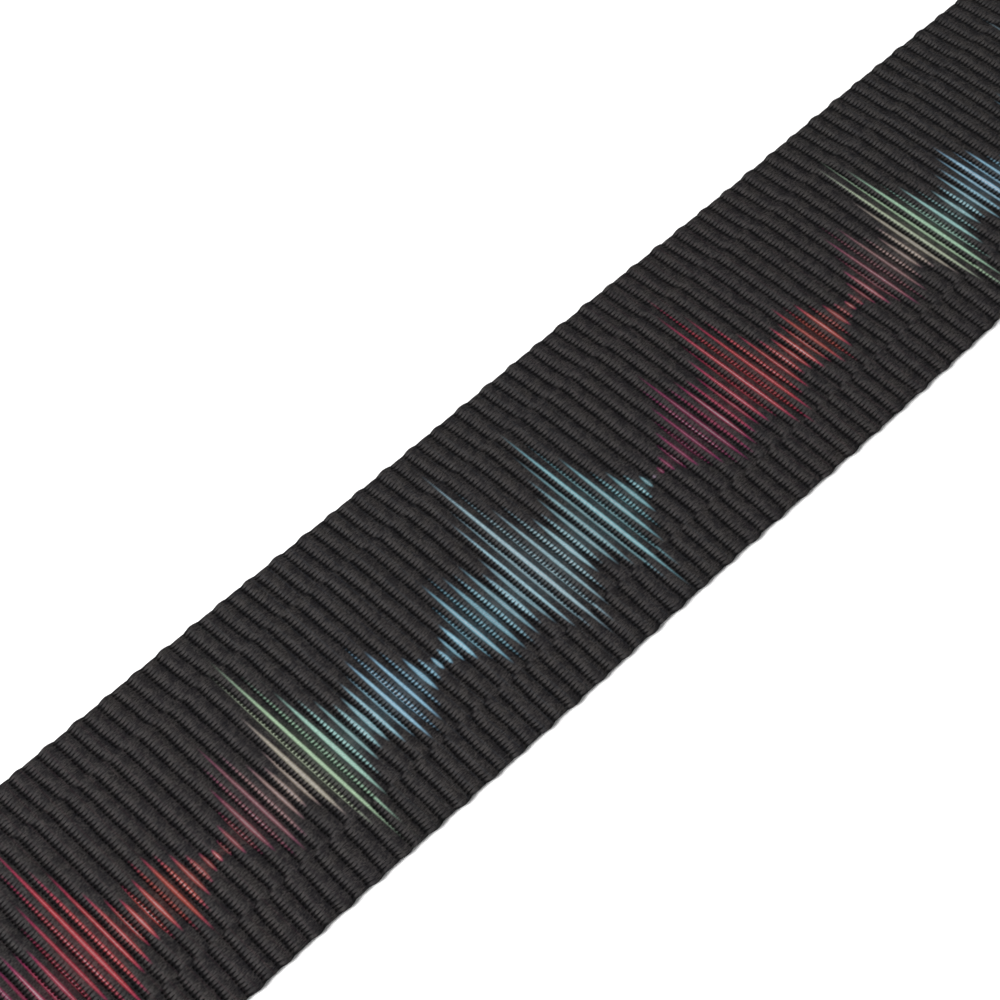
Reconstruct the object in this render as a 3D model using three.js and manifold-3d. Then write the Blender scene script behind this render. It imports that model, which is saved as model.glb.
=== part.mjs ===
// Guitar strap: printed webbing with a leather tab at each end, a slide and a ring that set its length.
// It lies on a flat surface, folded twice into a U, with the printed face up on both long runs.
// Millimetres, +Z up. The origin is under the middle of the whole strap, on the surface it lies on.
// +X runs along the long runs, from the leather tabs to the folds. +Y runs from the front run to the rear run.

import * as THREE from 'three';
import { mergeVertices } from 'three/addons/utils/BufferGeometryUtils.js';
import Module from 'manifold-3d';

const wasm = await Module();
wasm.setup();

// Driving dimensions
const WEB_WIDTH = 50;
const WEB_THICK = 1.4;
const GAP = 0.3; // clearance between two pieces that touch
const HALF_LENGTH = 300; // half of the laid-out length, from the tab tips to the folds
const FRONT_Y = -98.5; // centreline of the front run
const REAR_Y = 94.5; // centreline of the rear run
const FOLD_RADIUS = 2.6; // of the webbing's middle surface at each fold
const DROP_LENGTH = 45; // along the webbing, from the top of a fold down to the surface

const TAB_LENGTH = 97;
const TAB_WIDTH = 54;
const TAB_STRAIGHT = 42; // length of the full-width part of a tab
const TAB_END_RADIUS = 18;
const TAB_SEWN = 38; // length of webbing held inside a tab
const FACE_THICK = 2.0;
const BACKING_THICK = 1.8;
const BUTTON_HOLE_RADIUS = 4.5;
const SLIT_LENGTH = 11;
const SLIT_WIDTH = 1.0;
const STITCH_INSET = 3.5;
const THREAD_WIDTH = 0.8;
const THREAD_HEIGHT = 0.4;
const GROOVE_DEPTH = 0.8; // the tabs' stitching lies in a groove

const HARDWARE_INNER = 53; // clear width inside the slide and the ring
const RAIL_WIDTH = 4.5;
const END_BAR = 5.5; // along the strap
const SLOT = 9.5;
const MIDDLE_BAR = 5.0;
const BAR_HEIGHT = 2.2;
const RING_WIRE_RADIUS = 2.0;
const RING_PITCH = 20; // between the axes of the ring's two bars
const RING_CORNER = 4;

const SLIDE_X = -32; // centre of the slide
const RING_FROM_SLIDE = 140; // from the slide's centre to the axis of the ring's near bar
const PASS_BEFORE = 45; // the webbing that travels with the slide, on its fold side
const PASS_AFTER = 48; // and on its ring side
const SEWN_END = 46; // how far the sewn end reaches from the slide's centre
const TRAVEL = 60; // of the slide, each way

// Heights of the middle surface of each layer of webbing
const FLOOR_Z = WEB_THICK / 2;
const LAYER = WEB_THICK + GAP;
const MIDDLE_BAR_Z = WEB_THICK + GAP + BAR_HEIGHT / 2;
const SEWN_OVER_BAR_Z = MIDDLE_BAR_Z + BAR_HEIGHT / 2 + GAP + WEB_THICK / 2;
const CREST_Z = SEWN_OVER_BAR_Z + LAYER;
const UNDER_BAR_Z = FLOOR_Z + 2 * LAYER;
const END_BAR_BOTTOM = UNDER_BAR_Z + WEB_THICK / 2 + GAP;
const SLIDE_TOP = END_BAR_BOTTOM + BAR_HEIGHT;
const TURN_RADIUS = RING_WIRE_RADIUS + GAP + WEB_THICK / 2;
const RING_Z = FLOOR_Z + TURN_RADIUS;
const RING_TOP_Z = RING_Z + TURN_RADIUS;
const IN_TAB_Z = BACKING_THICK + GAP + WEB_THICK / 2;

const RING_X = SLIDE_X - RING_FROM_SLIDE;
const FAR_BAR_X = RING_X - RING_PITCH;
const REAR_TAB_X = -HALF_LENGTH + TAB_LENGTH; // inner edge of each tab
const FRONT_TAB_X = -HALF_LENGTH + TAB_LENGTH;
const FOLD_SHIFT = Math.PI * FOLD_RADIUS / Math.SQRT2;
const CROSS_X = HALF_LENGTH - WEB_WIDTH / 2; // centreline of the cross run
const FRONT_FOLD_X = CROSS_X - FOLD_SHIFT;
const REAR_FOLD_Y = REAR_Y - FOLD_SHIFT;
const FOLD_CLEAR = WEB_WIDTH / 2 + 8; // from a fold's centre to where the webbing runs straight

const BLACK_WEB = { color: 0x3a3837, roughness: 0.9, metalness: 0 };
const BLACK_LEATHER = { color: 0x26221f, roughness: 0.6, metalness: 0 };
const BLACK_PLASTIC = { color: 0x1d1d1e, roughness: 0.45, metalness: 0 };
const BLACK_THREAD = { color: 0x2d2b2a, roughness: 0.8, metalness: 0 };

const strap = new THREE.Group();

function addPiece(name, geometry, look) {
  const mesh = new THREE.Mesh(geometry, new THREE.MeshStandardMaterial(look));
  mesh.name = name;
  strap.add(mesh);
}

// Booleans

function toSolid(geometry) {
  const bare = geometry.clone();
  bare.deleteAttribute('normal');
  bare.deleteAttribute('uv');
  const merged = mergeVertices(bare, 1e-5);
  const vertProperties = Float32Array.from(merged.attributes.position.array);
  const triVerts = Uint32Array.from(merged.index.array);
  return new wasm.Manifold(new wasm.Mesh({ numProp: 3, vertProperties, triVerts }));
}

function toGeometry(solid) {
  const mesh = solid.getMesh();
  const geometry = new THREE.BufferGeometry();
  geometry.setAttribute('position', new THREE.BufferAttribute(Float32Array.from(mesh.vertProperties), 3));
  geometry.setIndex(new THREE.BufferAttribute(Uint32Array.from(mesh.triVerts), 1));
  geometry.computeVertexNormals();
  return geometry;
}

// Paths: lists of [x, z] points seen from the side

function ease(x0, z0, x1, z1, steps) {
  const points = [];
  for (let i = 0; i <= steps; i += 1) {
    const t = i / steps;
    points.push([x0 + (x1 - x0) * t, z0 + (z1 - z0) * t * t * (3 - 2 * t)]);
  }
  return points;
}

function arc(cx, cz, radius, fromDeg, toDeg, steps) {
  const points = [];
  for (let i = 0; i <= steps; i += 1) {
    const a = THREE.MathUtils.degToRad(fromDeg + (toDeg - fromDeg) * i / steps);
    points.push([cx + radius * Math.cos(a), cz + radius * Math.sin(a)]);
  }
  return points;
}

function joinPath(...parts) {
  const path = [];
  for (const point of parts.flat()) {
    const last = path[path.length - 1];
    if (!last || Math.hypot(point[0] - last[0], point[1] - last[1]) > 0.01) {
      path.push(point);
    }
  }
  return path;
}

// The outline of a sheet of this thickness whose middle line is the path
function thicken(path, thickness) {
  const upper = [];
  const lower = [];
  path.forEach((point, i) => {
    const before = path[Math.max(i - 1, 0)];
    const after = path[Math.min(i + 1, path.length - 1)];
    const dx = after[0] - before[0];
    const dz = after[1] - before[1];
    const reach = thickness / 2 / Math.hypot(dx, dz);
    upper.push(new THREE.Vector2(point[0] - dz * reach, point[1] + dx * reach));
    lower.push(new THREE.Vector2(point[0] + dz * reach, point[1] - dx * reach));
  });
  return new THREE.Shape(upper.concat(lower.reverse()));
}

// A side outline carried across the strap, centred on y
function acrossStrap(outline, width, y) {
  const geometry = new THREE.ExtrudeGeometry(outline, { depth: width, bevelEnabled: false, curveSegments: 6 });
  geometry.rotateX(Math.PI / 2);
  geometry.translate(0, y + width / 2, 0);
  return geometry;
}

function ribbon(path, y) {
  return acrossStrap(thicken(path, WEB_THICK), WEB_WIDTH, y);
}

// Diagonal folds: rows of the webbing's middle surface, as {left, right, up}.
// ahead and left are the strap's directions before the fold, and the fold turns it to the left.

function foldRows(centre, ahead, left) {
  const rows = [];
  const half = WEB_WIDTH / 2;
  const across = ahead.clone().sub(left).divideScalar(Math.SQRT2); // over the crease
  const along = ahead.clone().add(left).divideScalar(Math.SQRT2); // along the crease
  const up = new THREE.Vector3(0, 0, 1);
  const base = centre.clone().setZ(FLOOR_Z);
  const flatRow = (distance, turned) => {
    const heading = turned ? left : ahead;
    const side = turned ? ahead : left;
    const middle = base.clone().addScaledVector(heading, distance);
    if (turned) {
      middle.addScaledVector(ahead, FOLD_SHIFT);
      middle.z += 2 * FOLD_RADIUS;
    }
    rows.push({
      left: middle.clone().addScaledVector(side, half),
      right: middle.clone().addScaledVector(side, -half),
      up: turned ? up.clone().negate() : up.clone(),
    });
  };
  const creaseRow = (angle) => {
    const travelled = angle * FOLD_RADIUS;
    const edge = (side) => base.clone()
      .addScaledVector(along, travelled + Math.SQRT2 * side)
      .addScaledVector(across, FOLD_RADIUS * Math.sin(angle))
      .addScaledVector(up, FOLD_RADIUS * (1 - Math.cos(angle)));
    rows.push({
      left: edge(half),
      right: edge(-half),
      up: up.clone().multiplyScalar(Math.cos(angle)).addScaledVector(across, -Math.sin(angle)),
    });
  };
  flatRow(-FOLD_CLEAR, false);
  for (let i = 0; i <= 12; i += 1) {
    creaseRow(Math.PI * i / 12);
  }
  flatRow(FOLD_CLEAR, true);
  return rows;
}

function stripFromRows(rows) {
  const positions = [];
  for (const row of rows) {
    const lift = row.up.clone().multiplyScalar(WEB_THICK / 2);
    for (const corner of [
      row.left.clone().add(lift),
      row.right.clone().add(lift),
      row.right.clone().sub(lift),
      row.left.clone().sub(lift),
    ]) {
      positions.push(corner.x, corner.y, corner.z);
    }
  }
  const index = [];
  for (let i = 0; i + 1 < rows.length; i += 1) {
    for (let k = 0; k < 4; k += 1) {
      const a = 4 * i + k;
      const b = 4 * i + (k + 1) % 4;
      index.push(a, b, b + 4, a, b + 4, a + 4);
    }
  }
  const last = 4 * (rows.length - 1);
  index.push(0, 2, 1, 0, 3, 2);
  index.push(last, last + 1, last + 2, last, last + 2, last + 3);
  const geometry = new THREE.BufferGeometry();
  geometry.setAttribute('position', new THREE.BufferAttribute(Float32Array.from(positions), 3));
  geometry.setIndex(index);
  geometry.computeVertexNormals();
  return geometry;
}

// The webbing

function frontRun() {
  const webEnd = FRONT_TAB_X - TAB_SEWN;
  const path = joinPath(
    [[webEnd, IN_TAB_Z], [FRONT_TAB_X, IN_TAB_Z]],
    ease(FRONT_TAB_X + 1, IN_TAB_Z, FRONT_TAB_X + 20, FLOOR_Z, 8),
    [[FRONT_FOLD_X - FOLD_CLEAR - GAP, FLOOR_Z]],
  );
  addPiece('webbing_front_run', ribbon(path, FRONT_Y), BLACK_WEB);
}

function folds() {
  const plusX = new THREE.Vector3(1, 0, 0);
  const plusY = new THREE.Vector3(0, 1, 0);
  const minusX = new THREE.Vector3(-1, 0, 0);
  const frontRows = foldRows(new THREE.Vector3(FRONT_FOLD_X, FRONT_Y, 0), plusX, plusY);
  addPiece('webbing_front_fold', stripFromRows(frontRows), BLACK_WEB);
  const rearRows = foldRows(new THREE.Vector3(CROSS_X, REAR_FOLD_Y, 0), plusY, minusX);
  addPiece('webbing_rear_fold', stripFromRows(rearRows), BLACK_WEB);
}

function crossRun() {
  const start = FRONT_Y + FOLD_CLEAR + GAP;
  const top = FLOOR_Z + 2 * FOLD_RADIUS;
  const path = joinPath(
    ease(start, top, start + DROP_LENGTH, FLOOR_Z, 10),
    [[REAR_FOLD_Y - FOLD_CLEAR - GAP, FLOOR_Z]],
  );
  const geometry = ribbon(path, 0);
  geometry.rotateZ(Math.PI / 2);
  geometry.translate(CROSS_X, 0, 0);
  addPiece('webbing_cross_run', geometry, BLACK_WEB);
}

function rearRun() {
  const start = CROSS_X - FOLD_CLEAR - GAP;
  const stop = SLIDE_X + PASS_BEFORE + TRAVEL + 5;
  const top = FLOOR_Z + 2 * FOLD_RADIUS;
  const path = joinPath(
    [[stop, FLOOR_Z]],
    ease(start - DROP_LENGTH, FLOOR_Z, start, top, 10),
  );
  addPiece('webbing_rear_run', ribbon(path, REAR_Y), BLACK_WEB);
  const slack = [[SLIDE_X + PASS_BEFORE + GAP, FLOOR_Z], [stop - GAP, FLOOR_Z]];
  addPiece('webbing_adjust_run', ribbon(slack, REAR_Y), BLACK_WEB);
}

// Heights over the slide, with u counted from its centre towards the ring
const slideX = (u) => SLIDE_X - u;
const BAR_EDGE = MIDDLE_BAR / 2 + SLOT; // inner edge of an end bar
const SLIDE_HALF = BAR_EDGE + END_BAR;
const PLY_RISE_END = 25;
const PLY_RISE_Z = UNDER_BAR_Z + 0.9;

function upperPlyZ(u) {
  const run = RING_FROM_SLIDE - 6 - PLY_RISE_END;
  return PLY_RISE_Z + (RING_TOP_Z - PLY_RISE_Z) * (u - PLY_RISE_END) / run;
}

function slidePass() {
  const path = joinPath(
    [[slideX(-PASS_BEFORE), FLOOR_Z]],
    ease(slideX(-19), FLOOR_Z, slideX(-3), CREST_Z, 12),
    ease(slideX(3), CREST_Z, slideX(BAR_EDGE), UNDER_BAR_Z, 8),
    ease(slideX(SLIDE_HALF), UNDER_BAR_Z, slideX(PLY_RISE_END), PLY_RISE_Z, 4),
    [[slideX(PASS_AFTER), upperPlyZ(PASS_AFTER)]],
  );
  addPiece('webbing_slide_pass', ribbon(path, REAR_Y), BLACK_WEB);
}

function sewnEnd() {
  const wrap = BAR_HEIGHT / 2 + GAP + WEB_THICK / 2;
  const centre = MIDDLE_BAR / 2 - BAR_HEIGHT / 2;
  const sewnZ = FLOOR_Z + LAYER;
  const path = joinPath(
    [[slideX(PASS_AFTER), FLOOR_Z], [slideX(-centre), FLOOR_Z]],
    arc(slideX(-centre), MIDDLE_BAR_Z, wrap, -90, 90, 12),
    ease(slideX(centre), SEWN_OVER_BAR_Z, slideX(10), sewnZ, 8),
    [[slideX(SEWN_END), sewnZ]],
  );
  addPiece('webbing_sewn_end', ribbon(path, REAR_Y), BLACK_WEB);
}

function plies() {
  const from = PASS_AFTER + GAP;
  const to = RING_FROM_SLIDE - 6 - GAP;
  const upper = [[slideX(from), upperPlyZ(from)], [slideX(to), upperPlyZ(to)]];
  addPiece('webbing_upper_ply', ribbon(upper, REAR_Y), BLACK_WEB);
  const lower = [[slideX(from), FLOOR_Z], [slideX(to), FLOOR_Z]];
  addPiece('webbing_lower_ply', ribbon(lower, REAR_Y), BLACK_WEB);
}

function ringTurn() {
  const path = joinPath(
    [[RING_X + 6, RING_TOP_Z]],
    arc(RING_X, RING_Z, TURN_RADIUS, 90, 270, 16),
    [[RING_X + 6, FLOOR_Z]],
  );
  addPiece('webbing_ring_turn', ribbon(path, REAR_Y), BLACK_WEB);
}

function rearLoop() {
  const end = REAR_TAB_X - TAB_SEWN;
  const level = REAR_TAB_X + 1;
  const path = joinPath(
    [[end, IN_TAB_Z + LAYER]],
    ease(level, IN_TAB_Z + LAYER, FAR_BAR_X, RING_TOP_Z, 8),
    arc(FAR_BAR_X, RING_Z, TURN_RADIUS, 90, -90, 16),
    ease(FAR_BAR_X, FLOOR_Z, level, IN_TAB_Z, 8),
    [[end, IN_TAB_Z]],
  );
  addPiece('rear_loop', ribbon(path, REAR_Y), BLACK_WEB);
}

// The hardware

function roundedBar(length, height, x, z, y, width) {
  const radius = height / 2;
  const outline = new THREE.Shape();
  outline.moveTo(x - length / 2 + radius, z - radius);
  outline.lineTo(x + length / 2 - radius, z - radius);
  outline.absarc(x + length / 2 - radius, z, radius, -Math.PI / 2, Math.PI / 2, false);
  outline.lineTo(x - length / 2 + radius, z + radius);
  outline.absarc(x - length / 2 + radius, z, radius, Math.PI / 2, Math.PI * 1.5, false);
  return acrossStrap(outline, width, y);
}

function slide() {
  const outer = HARDWARE_INNER + 2 * RAIL_WIDTH;
  const railY = (HARDWARE_INNER + RAIL_WIDTH) / 2;
  const barWidth = HARDWARE_INNER + RAIL_WIDTH;
  const barX = BAR_EDGE + END_BAR / 2;
  const barZ = END_BAR_BOTTOM + BAR_HEIGHT / 2;
  const bottom = MIDDLE_BAR_Z - BAR_HEIGHT / 2;
  const side = new THREE.Shape();
  side.moveTo(SLIDE_X - 6, bottom);
  side.lineTo(SLIDE_X + 6, bottom);
  side.lineTo(SLIDE_X + SLIDE_HALF - 3, END_BAR_BOTTOM - 1.2);
  side.absarc(SLIDE_X + SLIDE_HALF - 2.2, SLIDE_TOP - 2.2, 2.2, -Math.PI / 3, Math.PI / 2, false);
  side.absarc(SLIDE_X - SLIDE_HALF + 2.2, SLIDE_TOP - 2.2, 2.2, Math.PI / 2, Math.PI * 4 / 3, false);
  side.lineTo(SLIDE_X - SLIDE_HALF + 3, END_BAR_BOTTOM - 1.2);
  const rail = (sign) => toSolid(acrossStrap(side, RAIL_WIDTH, REAR_Y + sign * railY));
  let body = rail(1).add(rail(-1));
  body = body.add(toSolid(roundedBar(END_BAR, BAR_HEIGHT, SLIDE_X - barX, barZ, REAR_Y, barWidth)));
  body = body.add(toSolid(roundedBar(END_BAR, BAR_HEIGHT, SLIDE_X + barX, barZ, REAR_Y, barWidth)));
  body = body.add(toSolid(roundedBar(MIDDLE_BAR, BAR_HEIGHT, SLIDE_X, MIDDLE_BAR_Z, REAR_Y, barWidth)));
  const corners = roundedPlan(SLIDE_HALF * 2, outer, 4);
  const plan = new THREE.ExtrudeGeometry(corners, { depth: 20, bevelEnabled: false, curveSegments: 4 });
  plan.translate(SLIDE_X, REAR_Y, -5);
  addPiece('slide', toGeometry(body.intersect(toSolid(plan))), BLACK_PLASTIC);
}

function roundedPlan(length, width, radius) {
  const a = length / 2 - radius;
  const b = width / 2 - radius;
  const shape = new THREE.Shape();
  shape.absarc(a, -b, radius, -Math.PI / 2, 0, false);
  shape.absarc(a, b, radius, 0, Math.PI / 2, false);
  shape.absarc(-a, b, radius, Math.PI / 2, Math.PI, false);
  shape.absarc(-a, -b, radius, Math.PI, Math.PI * 1.5, false);
  return shape;
}

// A round wire bent into a rectangle with rounded corners
function ring() {
  const width = HARDWARE_INNER + 2 * RING_WIRE_RADIUS;
  const outline = roundedPlan(RING_PITCH, width, RING_CORNER).getPoints(5);
  const path = outline.filter((p, i) => i === 0 || p.distanceTo(outline[i - 1]) > 0.01);
  const sides = 12;
  const positions = [];
  const index = [];
  path.forEach((point, i) => {
    const before = path[(i + path.length - 1) % path.length];
    const after = path[(i + 1) % path.length];
    const ahead = after.clone().sub(before).normalize();
    for (let k = 0; k < sides; k += 1) {
      const a = 2 * Math.PI * k / sides;
      const out = RING_WIRE_RADIUS * Math.cos(a);
      positions.push(point.x + ahead.y * out, point.y - ahead.x * out, RING_WIRE_RADIUS * Math.sin(a));
      const here = i * sides + k;
      const beside = i * sides + (k + 1) % sides;
      const next = ((i + 1) % path.length) * sides;
      index.push(here, next + k, next + (k + 1) % sides, here, next + (k + 1) % sides, beside);
    }
  });
  const geometry = new THREE.BufferGeometry();
  geometry.setAttribute('position', new THREE.BufferAttribute(Float32Array.from(positions), 3));
  geometry.setIndex(index);
  geometry.computeVertexNormals();
  geometry.translate(RING_X - RING_PITCH / 2, REAR_Y, RING_Z);
  addPiece('ring', geometry, BLACK_PLASTIC);
}

// The leather tabs, in plan: x runs from the inner edge, at 0, towards the tip

function tabOutline(inset) {
  const half = TAB_WIDTH / 2 - inset;
  const radius = TAB_END_RADIUS - inset;
  const centre = TAB_LENGTH - TAB_END_RADIUS;
  const shape = new THREE.Shape();
  shape.moveTo(-inset, half);
  shape.lineTo(-TAB_STRAIGHT, half);
  shape.bezierCurveTo(-TAB_STRAIGHT - 18, half, -centre + 14, radius, -centre, radius);
  shape.absarc(-centre, 0, radius, Math.PI / 2, Math.PI * 1.5, false);
  shape.bezierCurveTo(-centre + 14, -radius, -TAB_STRAIGHT - 18, -half, -TAB_STRAIGHT, -half);
  shape.lineTo(-inset, -half);
  return shape;
}

function buttonHole() {
  const centre = TAB_LENGTH - TAB_END_RADIUS;
  const start = Math.asin(SLIT_WIDTH / 2 / BUTTON_HOLE_RADIUS);
  const hole = new THREE.Path();
  hole.moveTo(-centre + BUTTON_HOLE_RADIUS + SLIT_LENGTH, -SLIT_WIDTH / 2);
  hole.lineTo(-centre + BUTTON_HOLE_RADIUS + SLIT_LENGTH, SLIT_WIDTH / 2);
  hole.absarc(-centre, 0, BUTTON_HOLE_RADIUS, start, 2 * Math.PI - start, false);
  return hole;
}

// A plan outline given height, to cut a side profile with
function planPrism(shape, x, y) {
  const prism = new THREE.ExtrudeGeometry(shape, { depth: 30, bevelEnabled: false, curveSegments: 14 });
  prism.translate(x, y, -10);
  return toSolid(prism);
}

// The side profile of a layer that lies over the webbing's end and comes down beyond it
function steppedLayer(x, high, low, thickness, y) {
  const path = joinPath(
    [[x - TAB_LENGTH - 5, low + thickness / 2]],
    ease(x - TAB_SEWN - 12, low + thickness / 2, x - TAB_SEWN - 1, high + thickness / 2, 8),
    [[x + 5, high + thickness / 2]],
  );
  return toSolid(acrossStrap(thicken(path, thickness), TAB_WIDTH + 10, y));
}

// A band of this width round the tab and once across it, cut from a layer that follows the tab's face
function stitchBand(width, layer, x, y) {
  const inset = STITCH_INSET - width / 2;
  const line = planPrism(tabOutline(inset), x, y).subtract(planPrism(tabOutline(inset + width), x, y));
  const across = new THREE.Shape();
  const half = TAB_WIDTH / 2 - STITCH_INSET;
  const nearX = -(TAB_SEWN - 6) + width / 2;
  across.moveTo(nearX, -half);
  across.lineTo(nearX, half);
  across.lineTo(nearX - width, half);
  across.lineTo(nearX - width, -half);
  return line.add(planPrism(across, x, y)).intersect(layer);
}

function leatherTab(end, x, y, plies) {
  const outline = tabOutline(0);
  outline.holes.push(buttonHole());
  const backing = new THREE.ExtrudeGeometry(outline, {
    depth: BACKING_THICK, bevelEnabled: false, curveSegments: 14,
  });
  backing.translate(x, y, 0);
  addPiece(`${end}_tab_backing`, backing, BLACK_LEATHER);

  const low = BACKING_THICK + GAP;
  const high = low + plies * LAYER;
  const floor = FACE_THICK - GROOVE_DEPTH;
  const grooveLayer = steppedLayer(x, high + floor, low + floor, 2 * GROOVE_DEPTH, y);
  const groove = stitchBand(THREAD_WIDTH + 2 * GAP, grooveLayer, x, y);
  const faceLayer = steppedLayer(x, high, low, FACE_THICK, y);
  const face = planPrism(outline, x, y).intersect(faceLayer).subtract(groove);
  addPiece(`${end}_tab_face`, toGeometry(face), BLACK_LEATHER);

  const threadLayer = steppedLayer(x, high + floor + GAP, low + floor + GAP, THREAD_HEIGHT, y);
  addPiece(`${end}_tab_thread`, toGeometry(stitchBand(THREAD_WIDTH, threadLayer, x, y)), BLACK_THREAD);
}

// The box stitch with a cross in it, on top of the sewn end
function boxStitch() {
  const long = 18;
  const wide = 38;
  const frame = roundedPlan(long + THREAD_WIDTH, wide + THREAD_WIDTH, THREAD_WIDTH);
  frame.holes.push(roundedPlan(long - THREAD_WIDTH, wide - THREAD_WIDTH, THREAD_WIDTH / 2));
  const box = new THREE.ExtrudeGeometry(frame, { depth: THREAD_HEIGHT, bevelEnabled: false, curveSegments: 3 });
  let stitch = toSolid(box);
  for (const sign of [1, -1]) {
    const bar = new THREE.BoxGeometry(Math.hypot(long, wide), THREAD_WIDTH, THREAD_HEIGHT * 0.7);
    bar.rotateZ(sign * Math.atan2(wide, long));
    bar.translate(0, 0, THREAD_HEIGHT * 0.5);
    stitch = stitch.add(toSolid(bar));
  }
  const geometry = toGeometry(stitch);
  const z = FLOOR_Z + LAYER + WEB_THICK / 2 + GAP;
  geometry.translate(slideX(SEWN_END - 2 - long / 2), REAR_Y, z);
  addPiece('sewn_end_thread', geometry, BLACK_THREAD);
}

frontRun();
folds();
crossRun();
rearRun();
slidePass();
sewnEnd();
plies();
ringTurn();
rearLoop();
slide();
ring();
leatherTab('front', FRONT_TAB_X, FRONT_Y, 1);
leatherTab('rear', REAR_TAB_X, REAR_Y, 2);
boxStitch();

export default strap;
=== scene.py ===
"""Looks for the guitar strap: printed webbing, leather tabs, slide, ring and stitching, on a pale floor.

Lengths are in millimetres until a mesh is made, and the stage is in metres. Along the webbing, `along`
counts from the end inside the front tab, `across` from the centreline (positive at the far edge of the
front run) and `lift` from the middle of the thickness towards the printed face.
"""

import math

import bpy
import numpy as np
from mathutils import Matrix, Vector


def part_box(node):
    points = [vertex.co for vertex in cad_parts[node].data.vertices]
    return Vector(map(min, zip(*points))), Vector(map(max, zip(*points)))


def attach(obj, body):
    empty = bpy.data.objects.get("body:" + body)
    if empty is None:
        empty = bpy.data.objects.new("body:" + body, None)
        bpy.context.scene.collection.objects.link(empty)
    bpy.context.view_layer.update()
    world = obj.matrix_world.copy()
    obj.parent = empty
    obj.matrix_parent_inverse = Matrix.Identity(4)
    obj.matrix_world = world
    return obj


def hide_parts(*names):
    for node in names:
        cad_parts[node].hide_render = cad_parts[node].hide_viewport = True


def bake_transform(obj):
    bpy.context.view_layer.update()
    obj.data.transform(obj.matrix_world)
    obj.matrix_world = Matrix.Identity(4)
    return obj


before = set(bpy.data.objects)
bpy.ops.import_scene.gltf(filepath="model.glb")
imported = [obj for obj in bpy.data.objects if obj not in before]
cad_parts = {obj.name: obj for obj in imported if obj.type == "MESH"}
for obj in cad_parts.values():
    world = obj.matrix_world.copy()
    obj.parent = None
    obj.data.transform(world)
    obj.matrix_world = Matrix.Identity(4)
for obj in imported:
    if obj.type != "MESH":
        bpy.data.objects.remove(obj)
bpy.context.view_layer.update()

MM = 0.001


def box_mm(node):
    """(low corner, high corner) of a CAD node."""
    low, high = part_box(node)
    return np.array(low) / MM, np.array(high) / MM


# Driving dimensions

WEB_WIDTH = 50.0
WEB_THICK = 1.4
HALF_WIDTH = WEB_WIDTH / 2
GAP = 0.3
LAYER = WEB_THICK + GAP
FLOOR_Z = WEB_THICK / 2

RIB_PITCH = 2.76
RIB_DEPTH = 0.19
RIB_ROWS = (0.0, 0.07, 0.17, 0.32, 0.5, 0.68, 0.83, 0.93)
NOTCH_PITCH = 0.68
WEAVE_LEAN = 0.0145
FAR_PANEL = 16.3
FAR_JOG = 0.45
NEAR_PANEL = -15.5
NEAR_JOG = 0.85
EDGE_ROUND = 1.4

BAR_PITCH = 1.517
BARS_PER_REPEAT = 88
REPEAT = BAR_PITCH * BARS_PER_REPEAT
WAVE_AXIS = -6.2

FACE_THICK = 2.0
BACKING_THICK = 1.8
TAB_LENGTH = 97.0
TAB_WIDTH = 54.0
TAB_STRAIGHT = 42.0
TAB_END_RADIUS = 18.0
TAB_CORNER = 3.0
TAB_SHOULDER_PULL = 18.0
TAB_NECK_PULL = 14.0
TAB_SEWN = 38.0
TAB_DROP = 20.0
HOLE_RADIUS = 4.5
SLIT_LENGTH = 11.0
SLIT_WIDTH = 0.5
STITCH_INSET = 3.5
STITCH_PITCH = 3.5
THREAD_RADIUS = 0.34
GROOVE_DEPTH = 0.30
STEP_END = 12.0
STEP_LENGTH = 11.0
LEATHER_GAP = 0.05
GROUND_GAP = 0.12
THREAD_SUNK = 0.22

# Places, from the frame

front_low, front_high = box_mm("webbing_front_run")
FRONT_Y = (front_low[1] + front_high[1]) / 2
FRONT_END = front_low[0]
FOLD_RADIUS = (box_mm("webbing_front_fold")[1][2] - WEB_THICK) / 2
FOLD_SHIFT = math.pi * FOLD_RADIUS / math.sqrt(2)
FOLD_CLEAR = HALF_WIDTH + 8
DROP_LENGTH = 45.0
cross_low, cross_high = box_mm("webbing_cross_run")
CROSS_X = (cross_low[0] + cross_high[0]) / 2
slide_low, slide_high = box_mm("slide")
SLIDE_X = (slide_low[0] + slide_high[0]) / 2
REAR_Y = (slide_low[1] + slide_high[1]) / 2
ring_low, ring_high = box_mm("ring")
RING_WIRE = (ring_high[2] - ring_low[2]) / 2
RING_Z = ring_low[2] + RING_WIRE
RING_X = ring_high[0] - RING_WIRE
FAR_BAR_X = ring_low[0] + RING_WIRE
TAB_X = box_mm("front_tab_face")[1][0]
FRONT_FOLD_X = CROSS_X - FOLD_SHIFT
REAR_FOLD_Y = REAR_Y - FOLD_SHIFT
FOLD_TOP_Z = FLOOR_Z + 2 * FOLD_RADIUS
TURN_RADIUS = RING_WIRE + GAP + WEB_THICK / 2
RING_TOP_Z = RING_Z + TURN_RADIUS
IN_TAB_Z = BACKING_THICK + GAP + WEB_THICK / 2

# The slide's bars, and the webbing over and under them. Lengths count from the slide's middle.

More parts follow.
